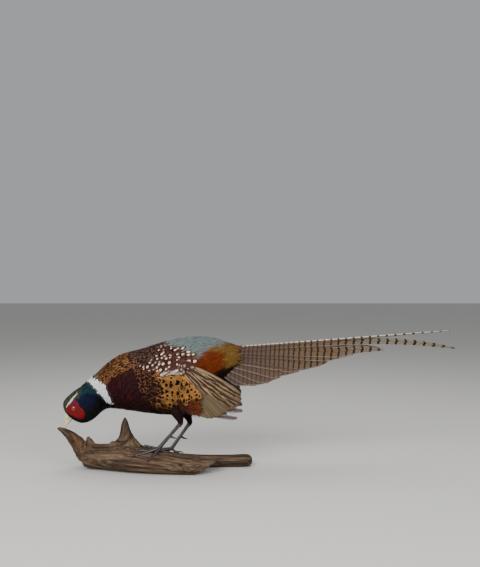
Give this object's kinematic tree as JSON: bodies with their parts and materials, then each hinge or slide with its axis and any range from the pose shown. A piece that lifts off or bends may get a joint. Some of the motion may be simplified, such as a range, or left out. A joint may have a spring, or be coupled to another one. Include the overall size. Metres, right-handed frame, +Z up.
{
  "type": "mounted cock pheasant",
  "caption": "Mounted cock ring-necked pheasant, head lowered and pecking at the raised tip of a piece of driftwood, with a long barred tail.",
  "frame": {"origin": "on the driftwood's flat underside, below the feet", "axes": "+Z up, the bird faces -X with its tail along +X, and its left side faces -Y"},
  "size_m": [0.8106, 0.1436, 0.2845],
  "materials": {
    "head_plumage": "glossy dark green and bronze feathers",
    "neck_plumage": "glossy blue-green feathers with a white collar",
    "body_plumage": "copper and golden feathers with dark tips and fringes",
    "rump_plumage": "pale blue-grey, olive and rust hair-like feathers",
    "leg_plumage": "dark brown short feathers",
    "flight_feathers": "buff-brown vanes with paler edges",
    "tail_feathers": "buff-brown vanes with dark bars",
    "facial_skin": "matt red skin with fine raised grains",
    "bill_horn": "smooth pale horn",
    "eye": "polished amber eye with a dark pupil",
    "leg_scales": "grey-brown scales, slightly glossy",
    "claw_horn": "dark horn",
    "driftwood": "bare weathered wood with open grain"
  },
  "bodies": {
    "root": {"head": "head_plumage", "neck": "neck_plumage", "trunk": "body_plumage", "rump": "rump_plumage", "bill_upper": "bill_horn", "bill_lower": "bill_horn", "eye_left": "eye", "wattle_left": "facial_skin", "wing_left_coverts": "body_plumage", "wing_left_secondaries": "flight_feathers", "wing_left_primaries": "flight_feathers", "thigh_left": "leg_plumage", "shank_left": "leg_scales", "spur_left": "claw_horn", "foot_left": "leg_scales", "claw_left_middle": "claw_horn", "claw_left_outer": "claw_horn", "claw_left_inner": "claw_horn", "claw_left_hind": "claw_horn", "tail_left_1": "tail_feathers", "tail_left_2": "tail_feathers", "tail_left_3": "tail_feathers", "tail_left_4": "tail_feathers", "tail_left_5": "tail_feathers", "tail_left_6": "tail_feathers", "tail_left_7": "tail_feathers", "tail_left_8": "tail_feathers", "tail_left_9": "tail_feathers", "eye_right": "eye", "wattle_right": "facial_skin", "wing_right_coverts": "body_plumage", "wing_right_secondaries": "flight_feathers", "wing_right_primaries": "flight_feathers", "thigh_right": "leg_plumage", "shank_right": "leg_scales", "spur_right": "claw_horn", "foot_right": "leg_scales", "claw_right_middle": "claw_horn", "claw_right_outer": "claw_horn", "claw_right_inner": "claw_horn", "claw_right_hind": "claw_horn", "tail_right_1": "tail_feathers", "tail_right_2": "tail_feathers", "tail_right_3": "tail_feathers", "tail_right_4": "tail_feathers", "tail_right_5": "tail_feathers", "tail_right_6": "tail_feathers", "tail_right_7": "tail_feathers", "tail_right_8": "tail_feathers", "tail_right_9": "tail_feathers", "driftwood": "driftwood"}
  },
  "joints": []
}
